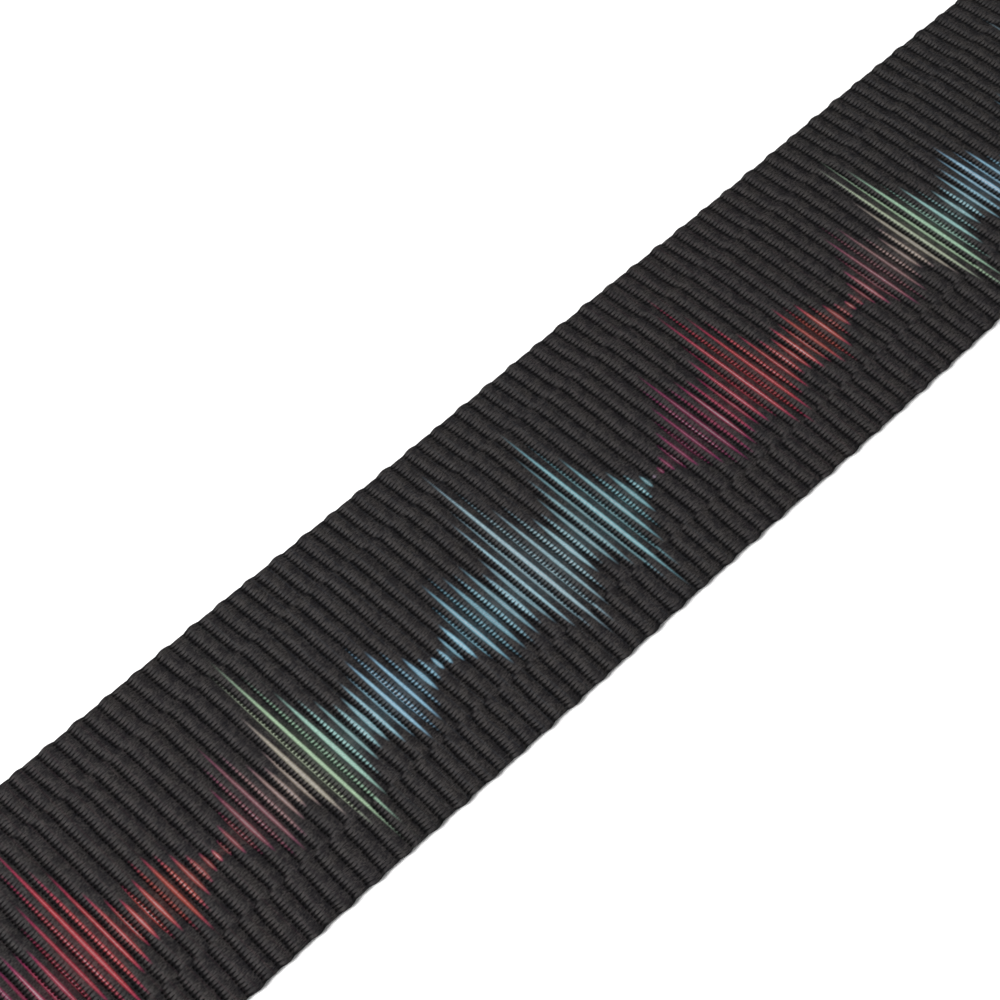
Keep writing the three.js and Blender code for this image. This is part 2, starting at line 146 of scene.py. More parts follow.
SLIDE_HALF = (slide_high[0] - slide_low[0]) / 2
END_BAR = 5.5
BAR_EDGE = SLIDE_HALF - END_BAR
BAR_HEIGHT = 2.2
MIDDLE_BAR = 5.0
MIDDLE_BAR_Z = slide_low[2] + BAR_HEIGHT / 2
SEWN_OVER_BAR_Z = MIDDLE_BAR_Z + BAR_HEIGHT / 2 + GAP + WEB_THICK / 2
CREST_Z = SEWN_OVER_BAR_Z + LAYER
CREST_HALF = 3.0
CLIMB_START = 19.0
UNDER_BAR_Z = FLOOR_Z + 2 * LAYER
RISE_END = 25.0
RISE_Z = UNDER_BAR_Z + 0.9
SEWN_DROP_END = 10.0
SEWN_END = 46.0
PASS_BEFORE = 45.0
PASS_AFTER = 48.0
RING_LEAD = 6.0

X = np.array([1.0, 0.0, 0.0])
Y = np.array([0.0, 1.0, 0.0])
Z = np.array([0.0, 0.0, 1.0])


# Side profiles: lists of (distance along the heading, height)

EASE_STEPS = 24
ARC_STEPS = 40
SAME_POINT = 0.01


def smooth_step(x):
    t = np.clip(x, 0, 1)
    return t * t * (3 - 2 * t)


def ease(p0, z0, p1, z1):
    """A smooth climb or drop, level at both ends."""
    t = np.linspace(0, 1, EASE_STEPS + 1)
    return np.column_stack([p0 + (p1 - p0) * t, z0 + (z1 - z0) * smooth_step(t)])


def round_centre(x, y, radius, degrees):
    """Points round a centre at these angles."""
    a = np.radians(degrees)
    return np.column_stack([x + radius * np.cos(a), y + radius * np.sin(a)])


def arc(cp, cz, radius, start, stop):
    """Part of a circle as a profile, between two angles."""
    return round_centre(cp, cz, radius, np.linspace(start, stop, ARC_STEPS + 1))


def join_path(*parts):
    """One profile from several, with points that meet taken once."""
    points = np.vstack([np.atleast_2d(part) for part in parts])
    keep = np.r_[True, np.linalg.norm(np.diff(points, axis=0), axis=1) > SAME_POINT]
    return points[keep]


# A route is a list of stretches (start, end, place), where place(along, across, lift) gives points in space

ROUTE_STEP = 0.25
SLOPE_WINDOW = 9


def smoothed_slope(values, reach):
    """How fast the values change along the reach, averaged over a few steps."""
    window = np.hanning(SLOPE_WINDOW) / np.hanning(SLOPE_WINDOW).sum()
    padded = np.pad(np.gradient(values, reach), SLOPE_WINDOW // 2, mode="edge")
    return np.convolve(padded, window, "valid")


def distance_along(points):
    """Distance from the first point to each point of a line."""
    return np.r_[0, np.cumsum(np.linalg.norm(np.diff(points, axis=0), axis=1))]


def profile_stretch(start, path, origin, heading, side, face):
    """A straight stretch with this side profile.

    side is the direction in which `across` grows, and face is 1 with the print up.
    """
    reach = distance_along(path)
    fine = np.linspace(0, reach[-1], int(reach[-1] / ROUTE_STEP))
    p = np.interp(fine, reach, path[:, 0])
    z = np.interp(fine, reach, path[:, 1])
    dp = smoothed_slope(p, fine)
    dz = smoothed_slope(z, fine)
    size = np.hypot(dp, dz)

    def place(along, across, lift):
        s = along - start
        level_part = np.outer(-np.interp(s, fine, dz / size), heading)
        upright_part = np.outer(np.interp(s, fine, dp / size), Z)
        normal = (level_part + upright_part) * face
        middle = origin + np.outer(np.interp(s, fine, p), heading) + np.outer(np.interp(s, fine, z), Z)
        return middle + np.outer(across, side) + normal * lift[:, None]

    return (start, start + reach[-1], place)


def fold_stretch(start, centre, ahead, left, across_sign, face):
    """A soft diagonal fold that turns the webbing to the left and puts its other face up."""
    over = (ahead - left) / math.sqrt(2)
    crease = (ahead + left) / math.sqrt(2)

    def place(along, across, lift):
        forward = along - start - FOLD_CLEAR
        to_left = across * across_sign
        d = (forward - to_left) / math.sqrt(2)
        e = (forward + to_left) / math.sqrt(2)
        angle = np.clip(d / FOLD_RADIUS, 0, math.pi)
        before = np.minimum(d, 0)
        after = np.maximum(d - math.pi * FOLD_RADIUS, 0)
        level = before + FOLD_RADIUS * np.sin(angle) - after
        height = FLOOR_Z + FOLD_RADIUS * (1 - np.cos(angle))
        normal = (np.outer(np.cos(angle), Z) - np.outer(np.sin(angle), over)) * face
        plan = centre + np.outer(e, crease) + np.outer(level, over)
        return plan + np.outer(height, Z) + normal * lift[:, None]

    return (start, start + 2 * FOLD_CLEAR + FOLD_SHIFT, place)


def place_on(route, along, across, lift):
    """Points in space, each from the stretch that its distance along the route falls in."""
    points = np.empty((along.size, 3))
    for i, (start, end, place) in enumerate(route):
        inside = ((along >= start) | (i == 0)) & ((along < end) | (i == len(route) - 1))
        if inside.any():
            points[inside] = place(along[inside], across[inside], lift[inside])
    return points


def front_path():
    """From the webbing's end inside the front tab down to the floor and on to the first fold."""
    return join_path(
        [[FRONT_END, IN_TAB_Z], [TAB_X, IN_TAB_Z]],
        ease(TAB_X + 1, IN_TAB_Z, TAB_X + TAB_DROP, FLOOR_Z),
        [[FRONT_FOLD_X - FOLD_CLEAR, FLOOR_Z]],
    )


def rear_path():
    """From the rear fold over the slide, round the ring and back to the sewn end, growing towards -X."""
    slide_p = -SLIDE_X
    ring_p = -RING_X
    wrap = BAR_HEIGHT / 2 + GAP + WEB_THICK / 2
    centre = MIDDLE_BAR / 2 - BAR_HEIGHT / 2
    drop_start = -(CROSS_X - FOLD_CLEAR)
    return join_path(
        ease(drop_start, FOLD_TOP_Z, drop_start + DROP_LENGTH, FLOOR_Z),
        ease(slide_p - CLIMB_START, FLOOR_Z, slide_p - CREST_HALF, CREST_Z),
        ease(slide_p + CREST_HALF, CREST_Z, slide_p + BAR_EDGE, UNDER_BAR_Z),
        ease(slide_p + SLIDE_HALF, UNDER_BAR_Z, slide_p + RISE_END, RISE_Z),
        [[ring_p - RING_LEAD, RING_TOP_Z]],
        arc(ring_p, RING_Z, TURN_RADIUS, 90, -90),
        [[slide_p - centre, FLOOR_Z]],
        arc(slide_p - centre, MIDDLE_BAR_Z, wrap, 270, 90),
        ease(slide_p + centre, SEWN_OVER_BAR_Z, slide_p + SEWN_DROP_END, FLOOR_Z + LAYER),
        [[slide_p + SEWN_END, FLOOR_Z + LAYER]],
    )


def strap_route():
    """Front run, front fold, cross run, rear fold and rear run with its way round the ring."""
    route = [profile_stretch(0, front_path(), FRONT_Y * Y, X, Y, 1)]
    route.append(fold_stretch(route[-1][1], FRONT_FOLD_X * X + FRONT_Y * Y, X, Y, 1, 1))
    drop_start = FRONT_Y + FOLD_CLEAR
    cross = join_path(
        ease(drop_start, FOLD_TOP_Z, drop_start + DROP_LENGTH, FLOOR_Z),
        [[REAR_FOLD_Y - FOLD_CLEAR, FLOOR_Z]],
    )
    route.append(profile_stretch(route[-1][1], cross, CROSS_X * X, Y, X, -1))
    route.append(fold_stretch(route[-1][1], CROSS_X * X + REAR_FOLD_Y * Y, Y, -X, -1, -1))
    route.append(profile_stretch(route[-1][1], rear_path(), REAR_Y * Y, -X, -Y, 1))
    return route


def loop_route():
    """The short webbing loop round the ring's far bar, from its lower end to its upper end."""
    mouth = TAB_X + 1
    end = TAB_X - TAB_SEWN
    path = join_path(
        [[end, IN_TAB_Z]],
        ease(mouth, IN_TAB_Z, FAR_BAR_X, FLOOR_Z),
        arc(FAR_BAR_X, RING_Z, TURN_RADIUS, -90, 90),
        ease(FAR_BAR_X, RING_TOP_Z, mouth, IN_TAB_Z + LAYER),
        [[end, IN_TAB_Z + LAYER]],
    )
    return [profile_stretch(0, path, REAR_Y * Y, X, Y, -1)]


# Woven webbing. A place's phase counts ribs along the webbing, with whole numbers in the valleys.

def rib_offset(phase, across):
    """How far a rib strays along the webbing, which has three lengthwise panels a little out of step."""
    near_panel = smooth_step((NEAR_PANEL - across) / 0.3 + 0.5)
    far_panel = smooth_step((across - FAR_PANEL) / 0.8 + 0.5)
    bow = np.maximum(np.abs(across) - 16, 0)
    wander = 0.06 * np.sin(0.21 * across + 2.1 * phase) + 0.04 * np.sin(0.83 * across - 1.3 * phase)
    return -WEAVE_LEAN * across - NEAR_JOG * near_panel - FAR_JOG * far_panel - 0.055 * bow + wander


def web_columns():
    """Places across the strip that get vertices, closer together at the panels' joints and at the edges."""
    flat_half = HALF_WIDTH - EDGE_ROUND
    inner = np.linspace(-flat_half, flat_half, 43)
    near = NEAR_PANEL + np.array([-0.6, -0.15, 0, 0.15, 0.6])
    far = FAR_PANEL + np.array([-0.4, 0, 0.4])
    edge = HALF_WIDTH - EDGE_ROUND * (1 - np.cos(np.radians([0, 25, 50, 72])))
    return np.unique(np.round(np.r_[inner, near, far, edge, -edge], 3))


def half_thickness(phase, across):
    """Half the webbing's thickness: rounded edges, and ribs with a valley between each and the next."""
    from_edge = np.clip((HALF_WIDTH - np.abs(across)) / EDGE_ROUND, 0, 1)
    rounding = np.sqrt(1 - (1 - from_edge) ** 2.6)
    crown = np.abs(np.sin(math.pi * phase)) ** 0.9
    depth = RIB_DEPTH * (0.4 + 0.6 * smooth_step((HALF_WIDTH - np.abs(across)) / 2.5))
    for jog, share in ((FAR_PANEL, 0.4), (NEAR_PANEL, 0.7)):
        depth = depth * (1 - share * np.exp(-((across - jog) / 0.6) ** 2))
    slack = 0.04 * (1 + np.sin(1.9 * np.floor(phase) + 0.13 * across)) * crown
    return (WEB_THICK / 2 - depth * (1 - crown) - slack) * rounding


def edge_pull(phase, across):
    """How far the edges are drawn in: between ribs, and at every second rib, where the weft doesn't turn."""
    scallop = 0.10 * (1 - np.abs(np.sin(math.pi * phase)))
    from_turn = np.mod(phase + 0.5 * np.sign(across), 2) - 1
    scallop = scallop + 0.24 * (1 - np.exp(-(from_turn / 0.42) ** 2))
    uneven = 0.04 * (1 + np.sin(2.3 * np.floor(phase)))
    wave = 0.12 * (1 + np.sin(0.23 * phase + np.sign(across)))
    share = (np.abs(across) / HALF_WIDTH) ** 8
    return -np.sign(across) * share * (scallop + uneven + wave)


def grid_faces(rows, columns, first, flip):
    """Quads of an open grid whose vertices start at number first."""
    r, c = np.meshgrid(np.arange(rows - 1), np.arange(columns - 1), indexing="ij")
    a = (first + r * columns + c).ravel()
    quads = np.column_stack([a, a + 1, a + columns + 1, a + columns])
    return quads[:, ::-1] if flip else quads


def wrapped_faces(rows, columns):
    """Quads of a grid that closes on itself both ways, as on a ring."""
    r, c = np.meshgrid(np.arange(rows), np.arange(columns), indexing="ij")
    next_r = (r + 1) % rows
    next_c = (c + 1) % columns
    corners = [r * columns + c, r * columns + next_c, next_r * columns + next_c, next_r * columns + c]
    return np.column_stack([corner.ravel() for corner in corners])


def strip_faces(rows, columns):
    """Quads of a closed strip: upper side, lower side, both edges and both ends."""
    count = rows * columns
    faces = [grid_faces(rows, columns, 0, True), grid_faces(rows, columns, count, False)]
    for column, flip in ((0, True), (columns - 1, False)):
        a = np.arange(rows - 1) * columns + column
        quads = np.column_stack([a, a + count, a + columns + count, a + columns])
        faces.append(quads[:, ::-1] if flip else quads)
    for row, flip in ((0, False), (rows - 1, True)):
        a = row * columns + np.arange(columns - 1)
        quads = np.column_stack([a, a + count, a + count + 1, a + 1])
        faces.append(quads[:, ::-1] if flip else quads)
    return np.vstack(faces)


def webbing(name, route, start, end, printed):
    """A closed strip from one distance along the route to another, cut along a rib at both ends."""
    columns = web_columns()
    first_rib = math.floor(start / RIB_PITCH)
    last_rib = math.floor(end / RIB_PITCH)
    ribs = np.arange(first_rib, last_rib)
    rows = np.r_[(ribs[:, None] + np.array(RIB_ROWS)[None, :]).ravel(), last_rib]
    phase, across = (grid.ravel() for grid in np.meshgrid(rows, columns, indexing="ij"))
    along = RIB_PITCH * phase + rib_offset(phase, across)
    pulled = across + edge_pull(phase, across)
    lift = half_thickness(phase, across)
    upper = place_on(route, along, pulled, lift)
    lower = place_on(route, along, pulled, -lift)
    piece = mesh_object(name, np.vstack([upper, lower]) * MM, strip_faces(rows.size, columns.size))
    face = np.r_[np.full(phase.size, 1.0 if printed else 0.0), np.zeros(phase.size)]
    store(piece, "cloth", "FLOAT_VECTOR", np.column_stack([np.tile(along, 2), np.tile(across, 2), face]))
    store(piece, "rib", "FLOAT", np.tile(phase, 2))
    return piece


def store(piece, name, kind, values):
    """Keep a value per vertex, for the material to read."""
    layer = piece.data.attributes.new(name, kind, "POINT")
    key = "vector" if kind == "FLOAT_VECTOR" else "value"
    layer.data.foreach_set(key, np.ascontiguousarray(values, dtype=np.float32).ravel())


def mesh_object(name, points, faces):
    """A smooth-shaded mesh from quads given as an array, or from faces of any size given as a list."""
    mesh = bpy.data.meshes.new(name)
    if isinstance(faces, np.ndarray):
        mesh.vertices.add(len(points))
        mesh.vertices.foreach_set("co", np.asarray(points, dtype=np.float32).ravel())
        mesh.loops.add(faces.size)
        mesh.loops.foreach_set("vertex_index", faces.astype(np.int32).ravel())
        mesh.polygons.add(len(faces))
        mesh.polygons.foreach_set("loop_start", np.arange(0, faces.size, faces.shape[1], dtype=np.int32))
        mesh.update(calc_edges=True)
    else:
        mesh.from_pydata([tuple(p) for p in points], [], faces)
    mesh.validate()
    mesh.shade_smooth()
    piece = bpy.data.objects.new(name, mesh)
    bpy.context.scene.collection.objects.link(piece)
    return piece


# Shader helpers

def linear(r, g, b):
    """Linear colour from 0-255 screen values."""
    values = [v / 255 for v in (r, g, b)]
    return tuple(v / 12.92 if v <= 0.04045 else ((v + 0.055) / 1.055) ** 2.4 for v in values) + (1.0,)


class Field:
    """A number over the surface, worked out by shader nodes."""

    def __init__(self, tree, source):
        self.tree = tree
        self.source = source

    def math(self, operation, *others):
        node = self.tree.nodes.new("ShaderNodeMath")
        node.operation = operation
        for slot, value in enumerate((self, *others)):
            source = value.source if isinstance(value, Field) else value
            if isinstance(source, (int, float)):
                node.inputs[slot].default_value = source
            else:
                self.tree.links.new(source, node.inputs[slot])
        return Field(self.tree, node.outputs[0])

    def __add__(self, other):
        return self.math("ADD", other)

    def __sub__(self, other):
        return self.math("SUBTRACT", other)

    def __mul__(self, other):
        return self.math("MULTIPLY", other)

    def __truediv__(self, other):
        return self.math("DIVIDE", other)

    def absolute(self):
        return self.math("ABSOLUTE")

    def floor(self):
        return self.math("FLOOR")

    def fract(self):
        return self.math("FRACT")

    def clamp(self):
        return self.math("MAXIMUM", 0.0).math("MINIMUM", 1.0)

    def power(self, exponent):
        return self.math("POWER", exponent)

    def step(self, low, high):
        """0 below low, 1 above high, smooth between."""
        node = self.tree.nodes.new("ShaderNodeMapRange")
        node.interpolation_type = "SMOOTHSTEP"
        self.tree.links.new(self.source, node.inputs["Value"])
        node.inputs["From Min"].default_value = low
        node.inputs["From Max"].default_value = high
        return Field(self.tree, node.outputs["Result"])


def attribute(tree, name):
    node = tree.nodes.new("ShaderNodeAttribute")
    node.attribute_name = name
    return node


def split(tree, vector):
    node = tree.nodes.new("ShaderNodeSeparateXYZ")
    tree.links.new(vector, node.inputs[0])
    return [Field(tree, output) for output in node.outputs]


def combine(tree, x, y):
    node = tree.nodes.new("ShaderNodeCombineXYZ")
    for slot, field in enumerate((x, y)):
        tree.links.new(field.source, node.inputs[slot])
    return node.outputs[0]


def noise(tree, vector, scale, detail=2.0, roughness=0.5):
    node = tree.nodes.new("ShaderNodeTexNoise")
    node.inputs["Scale"].default_value = scale
    node.inputs["Detail"].default_value = detail
    node.inputs["Roughness"].default_value = roughness
    tree.links.new(vector, node.inputs["Vector"])
    return Field(tree, node.outputs["Fac"])


def object_place(tree):
    return tree.nodes.new("ShaderNodeTexCoord").outputs["Object"]


def random_number(tree, field, seed):
    """A number from 0 to 1 that stays the same wherever the field does."""
    node = tree.nodes.new("ShaderNodeTexWhiteNoise")
    node.noise_dimensions = "1D"
    shifted = field + seed
    tree.links.new(shifted.source, node.inputs["W"])
    return Field(tree, node.outputs["Value"])


def mix_colour(tree, factor, first, second):
    """From the first colour at factor 0 to the second at 1. Each is a tuple or a socket."""
    node = tree.nodes.new("ShaderNodeMix")
    node.data_type = "RGBA"
    tree.links.new(factor.source, node.inputs["Factor"])
    for socket, value in (("A", first), ("B", second)):
        target = [s for s in node.inputs if s.name == socket and s.type == "RGBA"][0]
        if isinstance(value, tuple):
            target.default_value = value
        else:
            tree.links.new(value, target)
    return [s for s in node.outputs if s.type == "RGBA"][0]


def ramp(tree, factor, stops):
    """Colour by factor, from stops of (position, colour)."""
    node = tree.nodes.new("ShaderNodeValToRGB")
    node.color_ramp.interpolation = "LINEAR"
    elements = node.color_ramp.elements
    while len(elements) < len(stops):
        elements.new(0.5)
    for element, (position, colour) in zip(elements, sorted(stops)):
        element.position = position
        element.color = colour
    tree.links.new(factor.source, node.inputs[0])
    return node.outputs[0]


def new_material(name, roughness, **sockets):
    """(material, its node tree, its shader). Other sockets are named with _ for each space."""
    material = bpy.data.materials.new(name)
    material.use_nodes = True
    shader = material.node_tree.nodes["Principled BSDF"]
    shader.inputs["Roughness"].default_value = roughness
    for label, value in sockets.items():
        shader.inputs[label.replace("_", " ")].default_value = value
    return material, material.node_tree, shader


def bump(tree, shader, height, distance, strength):
    """Relief as deep as distance, in millimetres, where height goes from 0 to 1."""
    node = tree.nodes.new("ShaderNodeBump")
    node.inputs["Distance"].default_value = distance * MM
    node.inputs["Strength"].default_value = strength
    tree.links.new(height.source, node.inputs["Height"])
    tree.links.new(node.outputs[0], shader.inputs["Normal"])


# The print: a sound wave drawn in bars across the webbing, in bursts of changing colour. Each burst: place
# in the repeat, reach above the wave's axis, reach below it, share of that left in the neck after it, hue.

BURSTS = (
    (0.0, 15.5, 10.5, 0.50, linear(116, 26, 68)),
    (12.5, 29.0, 14.0, 0.50, linear(162, 44, 54)),
    (26.5, 10.0, 8.0, 0.12, linear(154, 60, 48)),
    (42.5, 16.5, 10.0, 0.35, linear(118, 62, 74)),
    (54.5, 31.0, 20.0, 0.45, linear(150, 184, 150)),
    (68.5, 13.5, 9.5, 0.10, linear(126, 168, 192)),
    (86.0, 14.5, 10.5, 0.55, linear(114, 164, 180)),
    (98.5, 31.0, 19.5, 0.32, linear(142, 172, 182)),
    (111.5, 24.5, 19.0, 0.02, linear(110, 158, 166)),
)
TALL_BURST = 20.0
SHOULDER = 2.6
SHOULDER_SHARE = 0.58
BESIDE_GREEN = ((50.5, linear(150, 140, 126)), (58.5, linear(134, 176, 172)))
REACH_SCALE = 32.0
REACH_POWER = 1.6
REACH_SEEDS = (3.0, 91.0)
FULLNESS_SEED = 17.0
STRENGTH_SEED = 40.0
PALENESS_SEED = 63.0
INK_PALE = linear(186, 184, 188)
TIP_OF_BLUE = linear(44, 40, 72)
TIP_OF_RED = linear(110, 24, 96)
COLOUR_BREAK = (120.8, 122.8)
PRINT_START = -FRONT_END + 30.2


def reach_stop(place, above, below):
    """A ramp stop with the reach above in red and the reach below in green, as shares of REACH_SCALE."""
    red, green = ((reach / REACH_SCALE) ** (1 / REACH_POWER) for reach in (above, below))
    return (place / REPEAT, (red, green, 0, 1))


def burst_stops():
    """Stops for each burst, the shoulders of the tall ones and the necks between them."""
    stops = []
    for i, (place, above, below, neck_share, _) in enumerate(BURSTS):
        after = BURSTS[(i + 1) % len(BURSTS)]
        gap = (after[0] - place) % REPEAT
        centre = (math.floor(place / BAR_PITCH) + 0.5) * BAR_PITCH
        stops.append(reach_stop(centre, above, below))
        if above > TALL_BURST:
            for side in (-SHOULDER, SHOULDER):
                stops.append(reach_stop(centre + side, SHOULDER_SHARE * above, SHOULDER_SHARE * below))
        neck = [neck_share * min(mine, theirs) for mine, theirs in ((above, after[1]), (below, after[2]))]
        stops.append(reach_stop(place + gap / 2, *neck))
    first_reach = stops[0][1]
    return sorted(stops + [(0.0, first_reach), (1.0, first_reach)])


def colour_stops():
    """Stops for the bursts' hues, with a quick change back to the first one at COLOUR_BREAK."""
    stops = [(burst[0] / REPEAT, burst[4]) for burst in BURSTS]
    stops.append((COLOUR_BREAK[0] / REPEAT, BURSTS[-1][4]))
    stops.append((COLOUR_BREAK[1] / REPEAT, BURSTS[0][4]))
    stops.extend((place / REPEAT, colour) for place, colour in BESIDE_GREEN)
    stops.append((1.0, BURSTS[0][4]))
    return sorted(stops)


def bar_remaining(tree, across, bar_in_repeat, index):
    """Share of its bar that lies beyond a place: 1 on the wave's axis, 0 at the bar's tip."""
    reach = split(tree, ramp(tree, bar_in_repeat, burst_stops()))
    above, below = (
        reach[side].power(REACH_POWER) * REACH_SCALE * (random_number(tree, index, seed) * 0.26 + 0.78)
        for side, seed in enumerate(REACH_SEEDS)
    )
    rise = across - WAVE_AXIS
    is_above = rise.math("GREATER_THAN", 0.0)
    share_above = (rise / above).math("MAXIMUM", 0.0)
    share_below = (rise / below * -1.0).math("MAXIMUM", 0.0)
    share = share_above * is_above + share_below * (is_above * -1.0 + 1.0)
    return (share * -1.0 + 1.0).clamp()


def ink_colour(tree, bar_in_repeat, index, remaining, depth):
    """The burst's hue, pale along a bar's core and deeper at its tip. depth counts inwards from its side."""
    hue = ramp(tree, bar_in_repeat, colour_stops())
    core = depth.step(0.05, 0.30) * remaining.step(0.03, 0.5)
    tallness = random_number(tree, index, REACH_SEEDS[0])
    paleness = tallness * 0.20 + random_number(tree, index, PALENESS_SEED) * 0.32 + 0.10
    red, _, blue = split(tree, hue)
    tip = mix_colour(tree, (red - blue).step(0.02, 0.20), TIP_OF_BLUE, TIP_OF_RED)
    deep = mix_colour(tree, remaining.step(0.6, 0.05) * 0.45, hue, tip)
    return mix_colour(tree, core * paleness, deep, INK_PALE)


def wave_print(tree, along, across):
    """(how much ink, its colour) from the place on the webbing."""
    bars = (along + across * WEAVE_LEAN - PRINT_START) / BAR_PITCH
    from_middle = (bars.fract() - 0.5).absolute() * BAR_PITCH
    bar_in_repeat = ((bars.floor() + 0.5) / BARS_PER_REPEAT).fract()
    index = (bar_in_repeat * BARS_PER_REPEAT).floor()
    remaining = bar_remaining(tree, across, bar_in_repeat, index)
    fullness = random_number(tree, index, FULLNESS_SEED)
    body = (remaining * 1.4 - 0.4).clamp().power(0.5) * (fullness * 0.15 + 0.05)
    tail = remaining.power(0.3) * 0.16
    depth = body + tail - from_middle
    fade = remaining.step(-0.04, 0.28)
    strength = random_number(tree, index, STRENGTH_SEED) * 0.30 + 0.74
    halo = remaining.step(0.30, 1.0) * 0.07
    ink = (depth.step(-0.22, 0.18) * fade * strength).math("MAXIMUM", halo)
    return ink, ink_colour(tree, bar_in_repeat, index, remaining, depth)


YARN_BLACKS = (linear(12, 11, 11), linear(10, 10, 15))
YARN_LIT = linear(54, 51, 50)
YARN_MOTTLE = linear(6, 6, 11)
# Painted highlight where a rib rises out of its valley.
YARN_CREST_HIGHLIGHT = linear(86, 84, 84)
# Painted shade on a rib's falling side, before the next valley.
YARN_FALLING_SHADE = linear(6, 6, 10)
# Painted shade in the valleys between ribs.
HOLLOW_SHADE = linear(8, 8, 10)
# Painted shade in the notch holes of each valley.
NOTCH_SHADE = linear(3, 3, 4)
SCATTER_SEED = 7.0
WEAVE_BUMP = 0.3


class Weave:
    """Where a place lies in the weave, as fields.

    off counts ribs from the nearest valley, negative before it, and after from the last one. tooth counts
    notches across the webbing. notch marks the holes in the valleys, which get bump and painted shade, and
    hollow the painted shade beside them.
    """

    def __init__(self, tree, along, across, rib):
        wobble = noise(tree, combine(tree, along * 0.9, across * 0.9), 1.0, 3.0) - 0.5
        shifted = rib + wobble * 0.14
        rib_number = (shifted + 0.5).floor()
        self.off = (shifted + 0.5).fract() - 0.5
        self.after = shifted.fract()
        scatter = random_number(tree, rib_number, SCATTER_SEED)
        self.tooth = across / NOTCH_PITCH + scatter * 0.5 + wobble * 0.4
        self.strand = (self.tooth * 2.0 * math.pi).math("COSINE") * 0.5 + 0.5
        far_joint = (across - FAR_PANEL).absolute().step(0.8, 0.1)
        near_joint = (across - NEAR_PANEL).absolute().step(0.7, 0.1)
        whole = (far_joint + near_joint) * -0.75 + 1.0
        from_notch = (self.tooth.fract() - 0.5).absolute()
        opening = (self.off * -0.8 + 0.22).math("MINIMUM", 0.28)
        in_valley = self.off.step(-0.20, -0.10) * self.off.step(0.26, 0.18) * whole
        self.notch = (opening - from_notch).step(-0.03, 0.05) * in_valley
        self.hollow = self.off.step(-0.42, -0.04) * self.off.step(0.14, -0.02) * whole
        fibres = noise(tree, combine(tree, along * 1.2, across * 7.0), 1.0, 3.0, 0.65)
        grain = noise(tree, combine(tree, along * 3.0, across * 3.0), 1.0, 2.0)
        self.lit = fibres * 0.62 + grain * 0.38
        self.mottle = noise(tree, combine(tree, along * 0.6, across * 0.6), 1.0, 4.0, 0.6)
        self.tint = noise(tree, combine(tree, along * 0.12, across * 0.2), 1.0, 2.0)


def yarn_colour(tree, weave):
    """Black yarn that catches the light on its fibres, with a painted highlight on the ribs' crests and
    painted shade on their falling sides.
    """
    off, after, mottle = weave.off, weave.after, weave.mottle
    dark = mix_colour(tree, weave.tint.step(0.35, 0.65), *YARN_BLACKS)
    yarn = mix_colour(tree, weave.lit.step(0.32, 0.68), dark, YARN_LIT)
    yarn = mix_colour(tree, mottle.step(0.45, 0.58) * 0.50, yarn, YARN_MOTTLE)
    # Painted highlight on each rib's crest just after its valley, lighter on the strands.
    painted_crest_highlight = off.step(-0.08, 0.08) * after.step(0.55, 0.14)
    yarn = mix_colour(tree, painted_crest_highlight * (weave.strand * 0.18 + 0.04), yarn, YARN_CREST_HIGHLIGHT)
    # Painted shade in patches on each rib's falling side, just before the valley.
    painted_falling_shade = off.step(0.0, -0.10) * after.step(0.64, 0.90) * mottle.step(0.36, 0.58) * 0.45
    return mix_colour(tree, painted_falling_shade, yarn, YARN_FALLING_SHADE)


def webbing_material(name, printed):
    """Ribbed black webbing, with the wave on its face if printed."""
    material, tree, shader = new_material(name, 0.9, Specular_IOR_Level=0.10)
    along, across, face = split(tree, attribute(tree, "cloth").outputs["Vector"])
    rib = Field(tree, attribute(tree, "rib").outputs["Fac"])
    weave = Weave(tree, along, across, rib)
    colour = yarn_colour(tree, weave)
    if printed:
        ink, its_colour = wave_print(tree, along, across)
        fleck = (weave.tooth * 4.0 * math.pi + weave.off * 9.0).math("COSINE") * 0.5 + 0.5
        worn = ink * (weave.lit.step(0.3, 0.65) * 0.34 + fleck * 0.34 + 0.40)
        colour = mix_colour(tree, worn * face.clamp(), colour, its_colour)
    # Painted shade in the valleys beside the notches.
    colour = mix_colour(tree, weave.hollow * 0.18, colour, HOLLOW_SHADE)
    # Painted shade in the notch holes, which the bump also sinks.
    colour = mix_colour(tree, weave.notch * 0.85, colour, NOTCH_SHADE)
    tree.links.new(colour, shader.inputs["Base Color"])
    height = weave.strand * 0.25 - weave.notch * 1.2 + weave.lit * 0.5
    bump(tree, shader, height, WEAVE_BUMP, 1.0)
    return material


# Leather tabs. In plan, `from_inner` counts from the inner edge towards the tip.

FIELD_INSET = 6.0
HOLE_MARGIN = 2.2
CROSS_SEAM = TAB_SEWN - 6.0
SEAM_SPACE = 1.5
THREAD_CLEAR = 1.6 * THREAD_RADIUS


def mirrored(upper):
    """A closed ring from its upper half, whose first and last points lie on the centreline."""
    lower = upper[1:-1][::-1] * np.array([1, -1])
    return np.vstack([upper, lower])


